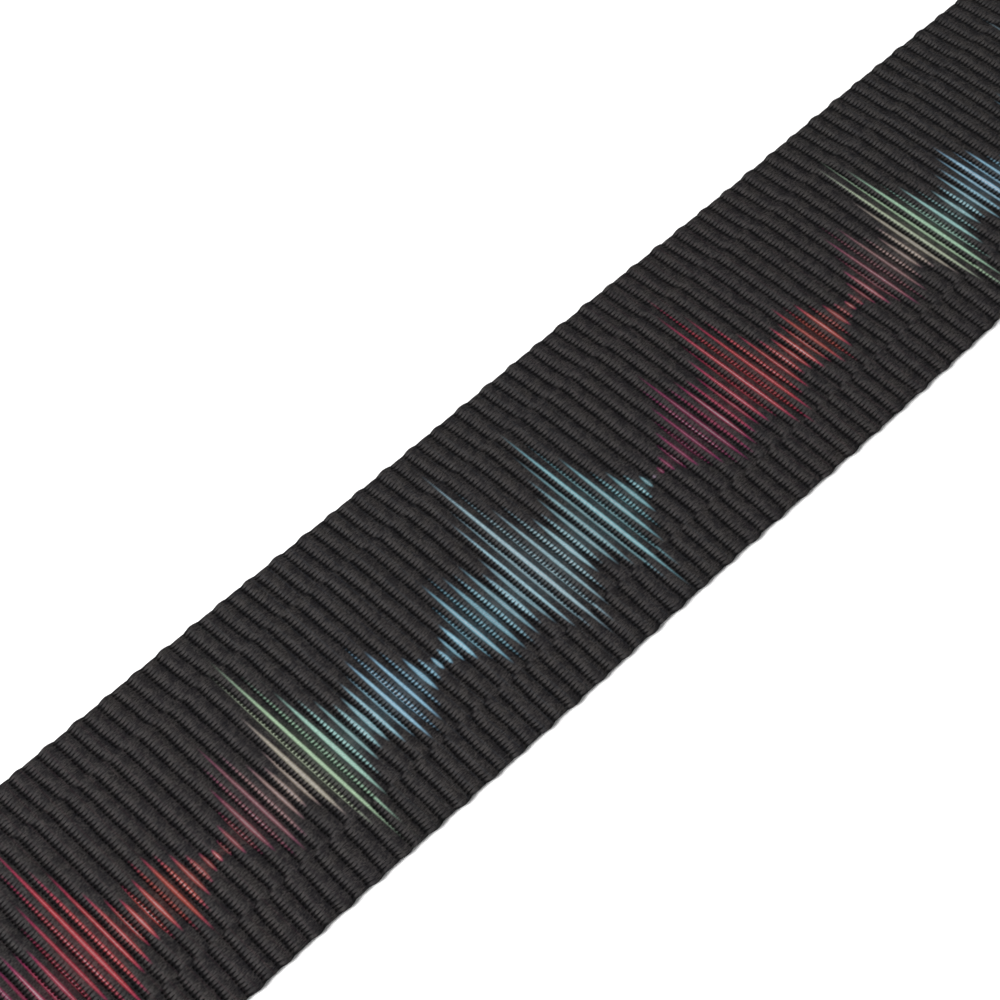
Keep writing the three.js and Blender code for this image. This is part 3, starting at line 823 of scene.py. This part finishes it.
def tab_ring(inset):
    """The tab's outline, moved in by inset."""
    half = TAB_WIDTH / 2 - inset
    corner = max(TAB_CORNER - inset, 0.6)
    radius = TAB_END_RADIUS - inset
    centre = TAB_LENGTH - TAB_END_RADIUS
    edge = np.linspace(0, half - corner, 9)[:-1]
    inner_edge = np.column_stack([np.full_like(edge, inset), edge])
    inner_corner = round_centre(inset + corner, half - corner, corner, np.linspace(180, 90, 7)[:-1])
    straight = np.linspace(inset + corner, TAB_STRAIGHT, 19)[:-1]
    side = np.column_stack([straight, np.full_like(straight, half)])
    t = np.linspace(0, 1, 21)[:-1, None]
    p0 = np.array([TAB_STRAIGHT, half])
    p1 = np.array([TAB_STRAIGHT + TAB_SHOULDER_PULL, half])
    p2 = np.array([centre - TAB_NECK_PULL, radius])
    p3 = np.array([centre, radius])
    shoulder = (1 - t) ** 3 * p0 + 3 * (1 - t) ** 2 * t * p1 + 3 * (1 - t) * t * t * p2 + t ** 3 * p3
    tip = round_centre(centre, 0, radius, np.linspace(90, 0, 15))
    return mirrored(np.vstack([inner_edge, inner_corner, side, shoulder, tip]))


def keyhole_ring(outset):
    """The button hole with its slit, grown by outset, with as many points as a tab ring."""
    centre = TAB_LENGTH - TAB_END_RADIUS
    slit_half = SLIT_WIDTH / 2 + outset
    radius = HOLE_RADIUS + outset
    end = centre - HOLE_RADIUS - SLIT_LENGTH
    cap = round_centre(end, 0, slit_half, np.linspace(180, 90, 15)[:-1])
    joint = math.asin(min(slit_half / radius, 1))
    side = np.linspace(end, centre - radius * math.cos(joint), 19)[:-1]
    slit = np.column_stack([side, np.full_like(side, slit_half)])
    hole = round_centre(centre, 0, radius, np.linspace(180 - math.degrees(joint), 0, 35))
    return mirrored(np.vstack([cap, slit, hole]))


def level(z):
    """A height that is the same from the inner edge to the tip."""
    return lambda from_inner: np.full_like(from_inner, z)


def stepped(plies, rise):
    """A height above the face leather's underside, which steps down beyond the webbing's end."""
    def height(from_inner):
        share = (TAB_SEWN + STEP_END - from_inner) / STEP_LENGTH
        return BACKING_THICK + LEATHER_GAP + plies * LAYER * smooth_step(share) + rise

    return height


def groove(cut):
    """(inset, drop) across the sewing groove along the edge, or across the same place if it isn't cut."""
    depth = GROOVE_DEPTH if cut else 0.0
    shape = ((-1.0, 0.0), (-0.55, 0.3), (0.0, 1.0), (0.55, 0.3), (1.0, 0.0))
    return [(STITCH_INSET + offset, share * depth) for offset, share in shape]


def leather_sheet(name, y, bottom, top, grooved):
    """A closed sheet with rounded edges and a sewing groove in its "top" or "bottom" side.

    bottom and top are heights by the distance from the inner edge. The rings go inwards over the top, down
    through the keyhole and back out underneath.
    """
    rings = []

    def add(ring, height, drop):
        rings.append(np.column_stack([TAB_X - ring[:, 0], y + ring[:, 1], height(ring[:, 0]) + drop]))

    field_edge = tab_ring(FIELD_INSET)
    hole_edge = keyhole_ring(HOLE_MARGIN)
    for inset, drop in ((0.0, 0.75), (0.08, 0.35), (0.35, 0.08), (0.9, 0.0), *groove(grooved == "top")):
        add(tab_ring(inset), top, -drop)
    for t in np.linspace(0, 1, 12):
        add(field_edge * (1 - t) + hole_edge * t, top, 0.02)
    for outset, drop in ((1.0, 0.0), (0.4, 0.08), (0.08, 0.3), (0.0, 0.7)):
        add(keyhole_ring(outset), top, -drop)
    for outset, rise in ((0.0, 0.5), (0.1, 0.15), (0.4, 0.0)):
        add(keyhole_ring(outset), bottom, rise)
    for t in np.linspace(1, 0, 6):
        add(field_edge * (1 - t) + hole_edge * t, bottom, 0.0)
    for inset, rise in (*reversed(groove(grooved == "bottom")), (0.5, 0.0), (0.12, 0.12), (0.0, 0.45)):
        add(tab_ring(inset), bottom, rise)
    return mesh_object(name, np.vstack(rings) * MM, wrapped_faces(len(rings), len(rings[0])))


# Stitches. The profile gives the share of a stitch's length, then rise and swell in thread radii.

STITCH_PROFILE = (
    (0.0, -1.3, 0.6),
    (0.06, -0.4, 0.95),
    (0.2, 0.25, 1.0),
    (0.5, 0.45, 1.05),
    (0.8, 0.25, 1.0),
    (0.94, -0.4, 0.95),
    (1.0, -1.3, 0.6),
)
THREAD_SIDES = 8
STITCH_SPACE = 0.07
AIM_STEP = 0.3


def stitch_points(line, reach, start, stop, facing):
    """Rings of points round one short arched thread between two distances along the line."""
    def on_line(s):
        return np.array([np.interp(s, reach, line[:, k]) for k in range(3)])

    points = []
    for share, rise, swell in STITCH_PROFILE:
        s = start + (stop - start) * share
        here = on_line(s)
        ahead = on_line(s + AIM_STEP) - on_line(s - AIM_STEP)
        ahead /= np.linalg.norm(ahead)
        side = np.cross(Z, ahead)
        side /= np.linalg.norm(side)
        up = np.cross(ahead, side)
        for k in range(THREAD_SIDES):
            angle = 2 * math.pi * k / THREAD_SIDES
            out = side * math.cos(angle) + up * math.sin(angle)
            points.append(here + up * rise * THREAD_RADIUS * facing + out * THREAD_RADIUS * swell)
    return points


def stitch_faces(base):
    """Faces of one stitch whose points start at number base: its sides, then its two ends."""
    faces = []
    for ring in range(len(STITCH_PROFILE) - 1):
        for k in range(THREAD_SIDES):
            a = base + ring * THREAD_SIDES + k
            b = base + ring * THREAD_SIDES + (k + 1) % THREAD_SIDES
            faces.append((a, b, b + THREAD_SIDES, a + THREAD_SIDES))
    last = base + (len(STITCH_PROFILE) - 1) * THREAD_SIDES
    faces.append(tuple(base + k for k in reversed(range(THREAD_SIDES))))
    faces.append(tuple(last + k for k in range(THREAD_SIDES)))
    return faces


def stitches(name, lines, lines_below=()):
    """Separate stitches along each line of points, each one dipping into the material at its ends.

    lines_below are on the underside, so their stitches arch downwards.
    """
    points = []
    faces = []
    for line, facing in [(line, 1) for line in lines] + [(line, -1) for line in lines_below]:
        reach = distance_along(line)
        number = max(round(reach[-1] / STITCH_PITCH), 1)
        pitch = reach[-1] / number
        for i in range(number):
            start = i * pitch + STITCH_SPACE * pitch
            stop = (i + 1) * pitch - STITCH_SPACE * pitch
            faces.extend(stitch_faces(len(points)))
            points.extend(stitch_points(line, reach, start, stop, facing))
    return mesh_object(name, np.array(points) * MM, faces)


def tab_stitch_lines(y, height):
    """The seam along the edge and the one across the webbing's end, at this height."""
    ring = tab_ring(STITCH_INSET)
    half = TAB_WIDTH / 2 - STITCH_INSET - SEAM_SPACE
    across = np.linspace(-half, half, 30)
    cross_seam = np.column_stack([np.full_like(across, CROSS_SEAM), across])
    lines = [np.vstack([ring, ring[:1]]), cross_seam]
    return [np.column_stack([TAB_X - line[:, 0], y + line[:, 1], height(line[:, 0])]) for line in lines]


def leather_tab(end, y, plies, body, looks):
    """Face and backing leather with their stitches, over this many plies of webbing."""
    face = leather_sheet(f"{end}_face_leather", y, stepped(plies, 0), stepped(plies, FACE_THICK), "top")
    backing = leather_sheet(f"{end}_backing_leather", y, level(GROUND_GAP), level(BACKING_THICK), "bottom")
    seams_above = tab_stitch_lines(y, stepped(plies, FACE_THICK - THREAD_SUNK))
    seams_below = tab_stitch_lines(y, level(THREAD_CLEAR))
    thread = stitches(f"{end}_tab_stitching", seams_above, seams_below)
    finish_piece(face, body, "tab_leather", looks["leather"], f"{end}_tab_face")
    finish_piece(backing, body, "backing_leather", looks["suede"], f"{end}_tab_backing")
    finish_piece(thread, body, "thread", looks["thread"], f"{end}_tab_thread")


def finish_piece(piece, body, slot, material, *nodes):
    piece.data.materials.clear()
    piece.data.materials.append(material)
    if body:
        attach(piece, body)
    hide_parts(*nodes)


def leather_material():
    """Black leather with fine creases and worn, paler blotches."""
    material, tree, shader = new_material("black_leather", 0.6, Specular_IOR_Level=0.35)
    place = object_place(tree)
    warp = noise(tree, place, 60.0, 3.0)
    cells = tree.nodes.new("ShaderNodeTexVoronoi")
    cells.feature = "DISTANCE_TO_EDGE"
    cells.inputs["Scale"].default_value = 900.0
    tree.links.new(place, cells.inputs["Vector"])
    creases = Field(tree, cells.outputs["Distance"]).step(0.0, 0.12)
    fine = noise(tree, place, 2600.0, 3.0)
    blotch = noise(tree, place, 45.0, 4.0)
    dark = mix_colour(tree, blotch.step(0.3, 0.7), linear(20, 18, 17), linear(34, 30, 27))
    colour = mix_colour(tree, creases * 0.6 + 0.4, linear(10, 9, 8), dark)
    tree.links.new(colour, shader.inputs["Base Color"])
    rough = warp * 0.2 + creases * -0.12 + 0.52
    tree.links.new(rough.source, shader.inputs["Roughness"])
    bump(tree, shader, creases * 0.7 + fine * 0.3, 0.12, 0.8)
    return material


def suede_material():
    """The napped underside of split leather."""
    material, tree, shader = new_material("suede_backing", 0.95, Sheen_Weight=0.3, Sheen_Roughness=0.5)
    place = object_place(tree)
    nap = noise(tree, place, 1500.0, 5.0, 0.7)
    blotch = noise(tree, place, 90.0, 3.0)
    colour = mix_colour(tree, (nap * 0.6 + blotch * 0.4).clamp(), linear(24, 21, 18), linear(56, 48, 42))
    tree.links.new(colour, shader.inputs["Base Color"])
    bump(tree, shader, nap, 0.2, 0.7)
    return material


def plastic_material():
    """Black moulded plastic with a fine texture and scuffs."""
    material, tree, shader = new_material("moulded_plastic", 0.38)
    place = object_place(tree)
    spark = noise(tree, place, 1800.0, 2.0)
    scuff = noise(tree, place, 120.0, 5.0, 0.65).step(0.5, 0.75)
    colour = mix_colour(tree, scuff, linear(26, 26, 27), linear(44, 44, 45))
    tree.links.new(colour, shader.inputs["Base Color"])
    rough = scuff * 0.2 + 0.36
    tree.links.new(rough.source, shader.inputs["Roughness"])
    bump(tree, shader, spark, 0.04, 0.5)
    return material


def thread_material():
    """Dark grey waxed thread."""
    material, tree, shader = new_material("waxed_thread", 0.6, Sheen_Weight=0.1)
    place = object_place(tree)
    strands = noise(tree, place, 3000.0, 3.0)
    colour = mix_colour(tree, strands, linear(46, 44, 43), linear(92, 88, 86))
    tree.links.new(colour, shader.inputs["Base Color"])
    bump(tree, shader, strands, 0.08, 0.8)
    return material


# Hardware

MOULD_VOXEL = 0.32
RING_CORNER = 4.0
RING_CORNER_STEPS = 8
RING_SIDES = 20


def moulded_slide(material):
    """The CAD slide with its edges and inner corners rounded as a mould leaves them."""
    piece = bpy.data.objects.new("moulded_slide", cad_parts["slide"].data.copy())
    bpy.context.scene.collection.objects.link(piece)
    remesh = piece.modifiers.new("mould", "REMESH")
    remesh.mode = "VOXEL"
    remesh.voxel_size = MOULD_VOXEL * MM
    soften = piece.modifiers.new("soften", "SMOOTH")
    soften.factor = 0.5
    soften.iterations = 8
    bake_modifiers(piece)
    piece.data.shade_smooth()
    finish_piece(piece, "adjuster", "slide_plastic", material, "slide")


def bake_modifiers(piece):
    """Give the piece its modifiers' result as its own mesh."""
    bpy.context.view_layer.update()
    graph = bpy.context.evaluated_depsgraph_get()
    result = bpy.data.meshes.new_from_object(piece.evaluated_get(graph))
    piece.modifiers.clear()
    piece.data = result


def ring_path(length, width):
    """Middle line of the ring about its own centre, with rounded corners."""
    corners = []
    for turn, (x_sign, y_sign) in enumerate(((1, 1), (-1, 1), (-1, -1), (1, -1))):
        x = x_sign * (length / 2 - RING_CORNER)
        y = y_sign * (width / 2 - RING_CORNER)
        angles = np.linspace(90 * turn, 90 * turn + 90, RING_CORNER_STEPS + 1)
        corners.append(round_centre(x, y, RING_CORNER, angles))
    return np.vstack(corners)


def wire_ring(material):
    """The ring as a round rod bent into a rectangle."""
    path = ring_path(RING_X - FAR_BAR_X, ring_high[1] - ring_low[1] - 2 * RING_WIRE)
    ahead = np.roll(path, -1, axis=0) - np.roll(path, 1, axis=0)
    ahead /= np.linalg.norm(ahead, axis=1)[:, None]
    outward = np.column_stack([ahead[:, 1], -ahead[:, 0]])
    angle = 2 * math.pi * np.arange(RING_SIDES) / RING_SIDES
    plan = path[:, None, :] + outward[:, None, :] * (RING_WIRE * np.cos(angle))[None, :, None]
    height = np.broadcast_to(RING_WIRE * np.sin(angle), (len(path), RING_SIDES))
    points = np.dstack([plan, height]).reshape(-1, 3) + np.array([(RING_X + FAR_BAR_X) / 2, REAR_Y, RING_Z])
    faces = wrapped_faces(len(path), RING_SIDES)[:, [0, 3, 2, 1]]
    piece = mesh_object("moulded_ring", points * MM, faces)
    finish_piece(piece, "ring", "ring_plastic", material, "ring")


def box_stitching(material):
    """A sewn square with its diagonals, where the webbing's end is sewn down behind the slide."""
    low, high = box_mm("sewn_end_thread")
    z = low[2] - GAP
    corners = np.array([[low[0], low[1]], [high[0], low[1]], [high[0], high[1]], [low[0], high[1]]])
    lines = []
    for a, b in ((0, 1), (1, 2), (2, 3), (3, 0), (0, 2), (1, 3)):
        line = np.linspace(corners[a], corners[b], 20)
        lines.append(np.column_stack([line, np.full(20, z)]))
    piece = stitches("sewn_end_stitching", lines)
    finish_piece(piece, "adjuster", "thread", material, "sewn_end_thread")


# Stage

VIEW_AZIMUTH = 48.39
VIEW_DOWN = 56.79
VIEW_ROLL = -3.59
VIEW_DISTANCE = 357.9
FOCAL_SHARE = 2.351
AIM_ACROSS = 8.29
SENSOR = 36.0


def camera():
    """The photograph's view of the front run."""
    azimuth, down, roll = (math.radians(v) for v in (VIEW_AZIMUTH, VIEW_DOWN, VIEW_ROLL))
    level_share = math.cos(down)
    forward = Vector((level_share * math.cos(azimuth), level_share * math.sin(azimuth), -math.sin(down)))
    level = forward.cross(Vector((0, 0, 1))).normalized()
    upright = level.cross(forward)
    right = level * math.cos(roll) + upright * math.sin(roll)
    up = upright * math.cos(roll) - level * math.sin(roll)
    data = bpy.data.cameras.new("view")
    data.sensor_width = SENSOR
    data.lens = FOCAL_SHARE * SENSOR
    data.clip_start = 0.01
    data.clip_end = 20
    piece = bpy.data.objects.new("view", data)
    bpy.context.scene.collection.objects.link(piece)
    target = Vector((0, FRONT_Y + AIM_ACROSS, 0)) * MM
    turn = Matrix((right, up, -forward)).transposed().to_4x4()
    piece.matrix_world = Matrix.Translation(target - forward * VIEW_DISTANCE * MM) @ turn
    bpy.context.scene.camera = piece


FLOOR_HALF = 6.0
FLOOR_DROP = 0.00005
FLOOR_GREY = (0.9, 0.9, 0.9, 1)


def floor():
    """A pale floor, measured in metres, a hair below the strap."""
    plan = ((-1, -1), (1, -1), (1, 1), (-1, 1))
    corners = [(x * FLOOR_HALF, y * FLOOR_HALF, -FLOOR_DROP) for x, y in plan]
    piece = mesh_object("floor", corners, [(0, 1, 2, 3)])
    piece.data.materials.append(new_material("pale_floor", 0.9, Base_Color=FLOOR_GREY)[0])


KEY_DIRECTION = (-0.80, 0.06, 0.50)
KEY_EDGE = (0.90, 0.985)
KEY_STRENGTH = 8.0
SKY_STRENGTH = 0.42
SEEN_SKY = 0.83
LAMP_PLACE = (-0.80, -0.08, 0.52)
LAMP_AIM = (0, -0.05, 0)
LAMP_WATTS = 11.0
LAMP_SIZE = 0.35


def sky():
    """A broad soft light low on the left in an even sky, which the camera sees as plain pale grey."""
    world = bpy.data.worlds.new("studio")
    world.use_nodes = True
    tree = world.node_tree
    background = tree.nodes["Background"]
    towards_key = tree.nodes.new("ShaderNodeVectorMath")
    towards_key.operation = "DOT_PRODUCT"
    towards_key.inputs[1].default_value = Vector(KEY_DIRECTION).normalized()
    tree.links.new(tree.nodes.new("ShaderNodeTexCoord").outputs["Generated"], towards_key.inputs[0])
    key = Field(tree, towards_key.outputs["Value"]).step(*KEY_EDGE)
    light = key * KEY_STRENGTH + SKY_STRENGTH
    seen = Field(tree, tree.nodes.new("ShaderNodeLightPath").outputs["Is Camera Ray"])
    strength = light * (seen * -1.0 + 1.0) + seen * SEEN_SKY
    tree.links.new(strength.source, background.inputs["Strength"])
    background.inputs["Color"].default_value = (1, 1, 1, 1)
    bpy.context.scene.world = world


def lamp():
    """A disk of light from the same side, which gives the ribs their shade."""
    data = bpy.data.lights.new("key", "AREA")
    data.shape = "DISK"
    data.size = LAMP_SIZE
    data.energy = LAMP_WATTS
    piece = bpy.data.objects.new("key", data)
    bpy.context.scene.collection.objects.link(piece)
    piece.location = LAMP_PLACE
    aim = Vector(LAMP_AIM) - Vector(LAMP_PLACE)
    piece.rotation_euler = aim.to_track_quat("-Z", "Y").to_euler()


def main_webbing(material):
    """The one printed webbing, as three strips that meet on the cross run and before the slide."""
    route = strap_route()
    end = route[-1][1]
    cross_seam = (route[2][0] + route[2][1]) / 2
    fold_x = CROSS_X - FOLD_CLEAR
    slide_seam = route[-1][0] + (fold_x - (SLIDE_X + PASS_BEFORE))

    def at(x):
        return (x * MM, REAR_Y * MM, 0)

    front = webbing("webbing_front", route, 0, cross_seam, True)
    finish_piece(front, "strap", "printed_webbing", material,
                 "webbing_front_run", "webbing_front_fold")
    rear = webbing("webbing_rear", route, cross_seam, slide_seam, True)
    finish_piece(rear, None, "printed_webbing", material,
                 "webbing_cross_run", "webbing_rear_fold", "webbing_rear_run", "webbing_adjust_run")
    at(fold_x - DROP_LENGTH)
    at(SLIDE_X + PASS_BEFORE)
    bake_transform(rear)
    adjuster = webbing("webbing_adjuster", route, slide_seam, end, True)
    finish_piece(adjuster, None, "printed_webbing", material,
                 "webbing_slide_pass", "webbing_upper_ply", "webbing_ring_turn", "webbing_lower_ply",
                 "webbing_sewn_end")
    at(SLIDE_X - PASS_AFTER)
    at(RING_X + RING_LEAD)
    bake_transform(adjuster)
    declare_sheet(cross_seam)
    declare_sheet(slide_seam - cross_seam)
    declare_sheet(end - slide_seam)


def rear_loop(material):
    """The loop that holds the rear tab on the ring."""
    route = loop_route()
    length = route[0][1]
    piece = webbing("rear_loop_webbing", route, 0, length, False)
    finish_piece(piece, "rear_tab", "loop_webbing", material, "rear_loop")
    declare_sheet(length)


def declare_sheet(length):
    """Work out a strip's flat length in metres, which nothing then uses."""
    length * MM


def main():
    camera()
    floor()
    sky()
    lamp()
    bpy.context.scene.view_settings.view_transform = "Standard"
    main_webbing(webbing_material("printed_webbing", True))
    rear_loop(webbing_material("plain_webbing", False))
    looks = {"leather": leather_material(), "suede": suede_material(), "thread": thread_material()}
    leather_tab("front", FRONT_Y, 1, "strap", looks)
    leather_tab("rear", REAR_Y, 2, "rear_tab", looks)
    box_stitching(looks["thread"])
    plastic = plastic_material()
    moulded_slide(plastic)
    wire_ring(plastic)


main()
